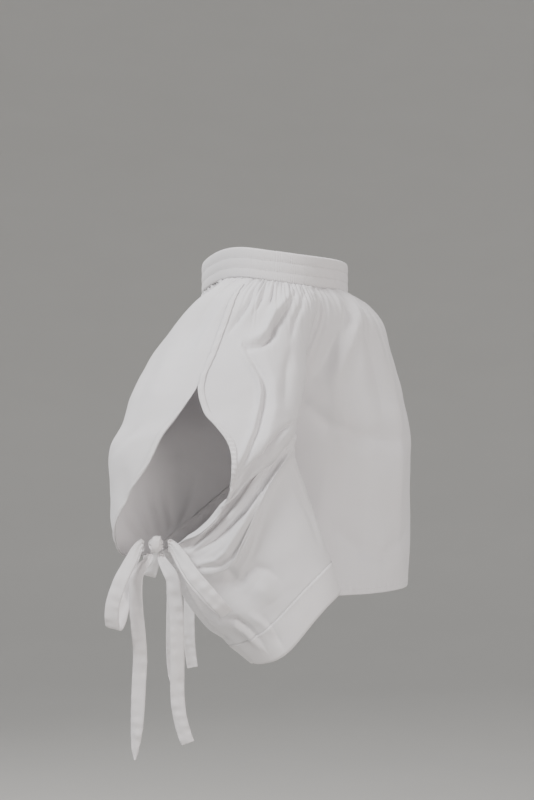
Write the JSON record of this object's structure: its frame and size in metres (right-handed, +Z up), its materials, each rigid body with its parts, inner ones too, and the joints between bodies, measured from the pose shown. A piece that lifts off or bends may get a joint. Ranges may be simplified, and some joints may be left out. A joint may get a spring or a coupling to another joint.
{
  "type": "off-shoulder top",
  "caption": "Loose off-shoulder top with an elastic neckband and wide sleeves, slit and tied in a bow at the elbow, in worn form.",
  "frame": {"origin": "the middle of the neckband's ring, level with the middle of its height over the shoulders, which hold it", "axes": "+Z up, front of the garment towards -Y, wearer's right towards -X"},
  "size_m": [0.7024, 0.3903, 0.6267],
  "materials": {
    "poplin": "matt white cotton poplin, fine plain weave",
    "shirred_poplin": "white cotton poplin shirred over elastic, with two rows of stitching",
    "edge_poplin": "white cotton poplin folded double and stitched along its edges",
    "tie_poplin": "white cotton poplin tie, folded double"
  },
  "bodies": {
    "root": {"neckband": "shirred_poplin", "front": "poplin", "back": "poplin", "sleeve_front_right": "poplin", "sleeve_back_right": "poplin", "cuff_right": "poplin", "placket_front_right": "edge_poplin", "placket_back_right": "edge_poplin", "tie_casing_right": "edge_poplin", "knot_right": "tie_poplin", "loop_back_right": "tie_poplin", "loop_front_right": "tie_poplin", "tail_back_right": "tie_poplin", "tail_front_right": "tie_poplin", "sleeve_front_left": "poplin", "sleeve_back_left": "poplin", "cuff_left": "poplin", "placket_front_left": "edge_poplin", "placket_back_left": "edge_poplin", "tie_casing_left": "edge_poplin", "knot_left": "tie_poplin", "loop_back_left": "tie_poplin", "loop_front_left": "tie_poplin", "tail_back_left": "tie_poplin", "tail_front_left": "tie_poplin"}
  },
  "joints": []
}
